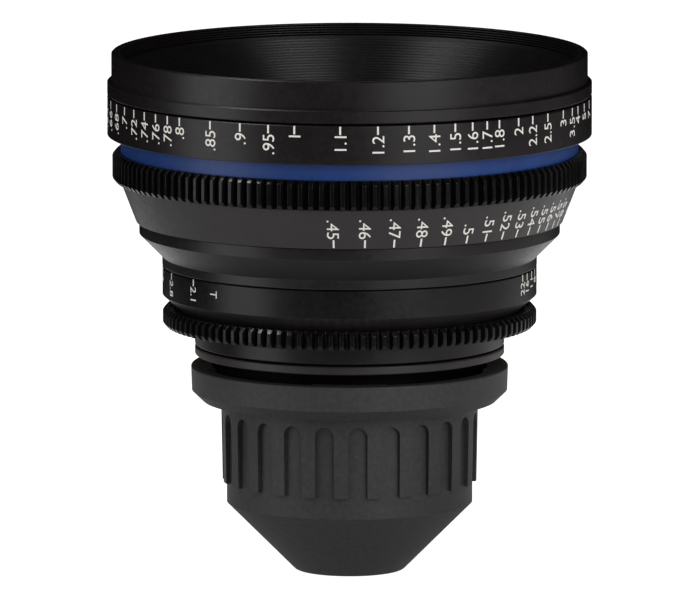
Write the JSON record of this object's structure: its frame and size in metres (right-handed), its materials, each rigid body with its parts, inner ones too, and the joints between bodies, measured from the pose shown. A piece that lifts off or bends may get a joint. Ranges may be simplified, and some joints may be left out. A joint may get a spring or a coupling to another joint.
{
  "type": "cinema prime lens",
  "caption": "Round cine lens that narrows in steps to a ribbed rear cap, with geared focus and iris rings, a blue accent ring, a wide front with a threaded rim and a four-lug mount.",
  "frame": {"origin": "centre of the lens mount's seat face, on the optical axis", "axes": "+Z along the optical axis towards the scene; -Y points out of the face that shows the focus and iris scales; +X completes the right-handed frame"},
  "size_m": [0.116, 0.116, 0.1251],
  "materials": {
    "satin_black": "black anodised, satin",
    "dark_grey": "dark grey anodised, satin",
    "gear_black": "black anodised, cut teeth",
    "accent_blue": "blue anodised, satin",
    "matt_black": "matt black anodised",
    "barrel_aluminium": "turned, hard anodised",
    "mount_steel": "ground stainless steel",
    "screw_steel": "blackened",
    "brass": "turned",
    "glass": "polished and coated",
    "blade_black": "blackened spring steel",
    "washer_plastic": "low-friction plastic",
    "cap_plastic": "moulded, fine grain"
  },
  "bodies": {
    "barrel": {"front_ring": "satin_black", "front_funnel": "matt_black", "front_ring_screws": "screw_steel", "guide_barrel": "barrel_aluminium", "middle_housing": "satin_black", "barrel_screws": "screw_steel", "rear_housing": "satin_black", "iris_retaining_ring": "brass", "mount_ring": "satin_black", "flange_shim": "mount_steel", "lens_mount": "mount_steel", "mount_screws": "screw_steel", "rear_baffle": "matt_black"},
    "focus_ring": {"focus_cam_sleeve": "barrel_aluminium", "focus_scale_ring": "satin_black", "focus_accent_ring": "accent_blue", "focus_gear_ring": "gear_black", "focus_cone_ring": "dark_grey", "focus_front_washer": "washer_plastic", "focus_rear_washer": "washer_plastic", "focus_stop_pin": "screw_steel"},
    "lens_block": {"lens_carrier": "matt_black", "cam_rollers": "brass", "front_cell": "matt_black", "cell_screws": "screw_steel", "front_spacer": "matt_black", "front_retaining_ring": "matt_black", "element_1": "glass", "element_2": "glass", "element_3": "glass", "element_4": "glass", "element_5": "glass", "element_6": "glass", "iris_base": "matt_black", "iris_cover": "matt_black", "rear_cell": "matt_black", "rear_spacer": "matt_black", "rear_retaining_ring": "matt_black"},
    "iris_ring": {"iris_scale_ring": "satin_black", "iris_gear_ring": "gear_black", "iris_drive_bar": "brass", "iris_bar_screw": "screw_steel"},
    "iris_actuator": {"iris_actuator": "mount_steel"},
    "iris_blade_01": {"iris_blade_01": "blade_black"},
    "iris_blade_02": {"iris_blade_02": "blade_black"},
    "iris_blade_03": {"iris_blade_03": "blade_black"},
    "iris_blade_04": {"iris_blade_04": "blade_black"},
    "iris_blade_05": {"iris_blade_05": "blade_black"},
    "iris_blade_06": {"iris_blade_06": "blade_black"},
    "iris_blade_07": {"iris_blade_07": "blade_black"},
    "iris_blade_08": {"iris_blade_08": "blade_black"},
    "iris_blade_09": {"iris_blade_09": "blade_black"},
    "iris_blade_10": {"iris_blade_10": "blade_black"},
    "iris_blade_11": {"iris_blade_11": "blade_black"},
    "iris_blade_12": {"iris_blade_12": "blade_black"},
    "iris_blade_13": {"iris_blade_13": "blade_black"},
    "iris_blade_14": {"iris_blade_14": "blade_black"},
    "rear_cap": {"rear_cap": "cap_plastic"}
  },
  "joints": [
    {"name": "focus_turn", "type": "hinge", "parent": "barrel", "child": "focus_ring", "pos_m": [0, 0, 0.0498], "axis": [0, 0, 1], "range_deg": [-195, 105]},
    {"name": "lens_travel", "type": "slide", "parent": "barrel", "child": "lens_block", "axis": [0, 0, 1], "range_m": [-0.00497, 0.00268]},
    {"name": "iris_turn", "type": "hinge", "parent": "barrel", "child": "iris_ring", "pos_m": [0, 0, 0.0215], "axis": [0, 0, 1], "range_deg": [-36.1, 19.9]},
    {"name": "iris_actuator_turn", "type": "hinge", "parent": "lens_block", "child": "iris_actuator", "pos_m": [0, 0, 0.0105], "axis": [0, 0, 1], "range_deg": [-36.2, 20]},
    {"name": "iris_blade_01_turn", "type": "hinge", "parent": "lens_block", "child": "iris_blade_01", "pos_m": [0.01813, 0.00159, 0.00735], "axis": [0, 0, 1], "range_deg": [-18.9, 10.45]},
    {"name": "iris_blade_02_turn", "type": "hinge", "parent": "lens_block", "child": "iris_blade_02", "pos_m": [0.01565, 0.0093, 0.00753], "axis": [0, 0, 1], "range_deg": [-18.9, 10.45]},
    {"name": "iris_blade_03_turn", "type": "hinge", "parent": "lens_block", "child": "iris_blade_03", "pos_m": [0.01006, 0.01516, 0.00771], "axis": [0, 0, 1], "range_deg": [-18.9, 10.45]},
    {"name": "iris_blade_04_turn", "type": "hinge", "parent": "lens_block", "child": "iris_blade_04", "pos_m": [0.00249, 0.01803, 0.00789], "axis": [0, 0, 1], "range_deg": [-18.9, 10.45]},
    {"name": "iris_blade_05_turn", "type": "hinge", "parent": "lens_block", "child": "iris_blade_05", "pos_m": [-0.00558, 0.01732, 0.00807], "axis": [0, 0, 1], "range_deg": [-18.9, 10.45]},
    {"name": "iris_blade_06_turn", "type": "hinge", "parent": "lens_block", "child": "iris_blade_06", "pos_m": [-0.01254, 0.01319, 0.00825], "axis": [0, 0, 1], "range_deg": [-18.9, 10.45]},
    {"name": "iris_blade_07_turn", "type": "hinge", "parent": "lens_block", "child": "iris_blade_07", "pos_m": [-0.01702, 0.00644, 0.00843], "axis": [0, 0, 1], "range_deg": [-18.9, 10.45]},
    {"name": "iris_blade_08_turn", "type": "hinge", "parent": "lens_block", "child": "iris_blade_08", "pos_m": [-0.01813, -0.00159, 0.00861], "axis": [0, 0, 1], "range_deg": [-18.9, 10.45]},
    {"name": "iris_blade_09_turn", "type": "hinge", "parent": "lens_block", "child": "iris_blade_09", "pos_m": [-0.01565, -0.0093, 0.00879], "axis": [0, 0, 1], "range_deg": [-18.9, 10.45]},
    {"name": "iris_blade_10_turn", "type": "hinge", "parent": "lens_block", "child": "iris_blade_10", "pos_m": [-0.01006, -0.01516, 0.00897], "axis": [0, 0, 1], "range_deg": [-18.9, 10.45]},
    {"name": "iris_blade_11_turn", "type": "hinge", "parent": "lens_block", "child": "iris_blade_11", "pos_m": [-0.00249, -0.01803, 0.00915], "axis": [0, 0, 1], "range_deg": [-18.9, 10.45]},
    {"name": "iris_blade_12_turn", "type": "hinge", "parent": "lens_block", "child": "iris_blade_12", "pos_m": [0.00558, -0.01732, 0.00933], "axis": [0, 0, 1], "range_deg": [-18.9, 10.45]},
    {"name": "iris_blade_13_turn", "type": "hinge", "parent": "lens_block", "child": "iris_blade_13", "pos_m": [0.01254, -0.01319, 0.00951], "axis": [0, 0, 1], "range_deg": [-18.9, 10.45]},
    {"name": "iris_blade_14_turn", "type": "hinge", "parent": "lens_block", "child": "iris_blade_14", "pos_m": [0.01702, -0.00644, 0.00969], "axis": [0, 0, 1], "range_deg": [-18.9, 10.45]},
    {"name": "rear_cap_pull", "type": "slide", "parent": "barrel", "child": "rear_cap", "axis": [0, 0, -1], "range_m": [0, 0.06]}
  ],
  "couplings": [
    {"joint": "lens_travel", "follows": "focus_turn", "m_per_rad": 0.0014579},
    {"joint": "iris_actuator_turn", "follows": "iris_turn", "ratio": 1},
    {"joint": "iris_blade_01_turn", "follows": "iris_turn", "ratio": 0.523},
    {"joint": "iris_blade_02_turn", "follows": "iris_turn", "ratio": 0.523},
    {"joint": "iris_blade_03_turn", "follows": "iris_turn", "ratio": 0.523},
    {"joint": "iris_blade_04_turn", "follows": "iris_turn", "ratio": 0.523},
    {"joint": "iris_blade_05_turn", "follows": "iris_turn", "ratio": 0.523},
    {"joint": "iris_blade_06_turn", "follows": "iris_turn", "ratio": 0.523},
    {"joint": "iris_blade_07_turn", "follows": "iris_turn", "ratio": 0.523},
    {"joint": "iris_blade_08_turn", "follows": "iris_turn", "ratio": 0.523},
    {"joint": "iris_blade_09_turn", "follows": "iris_turn", "ratio": 0.523},
    {"joint": "iris_blade_10_turn", "follows": "iris_turn", "ratio": 0.523},
    {"joint": "iris_blade_11_turn", "follows": "iris_turn", "ratio": 0.523},
    {"joint": "iris_blade_12_turn", "follows": "iris_turn", "ratio": 0.523},
    {"joint": "iris_blade_13_turn", "follows": "iris_turn", "ratio": 0.523},
    {"joint": "iris_blade_14_turn", "follows": "iris_turn", "ratio": 0.523}
  ]
}
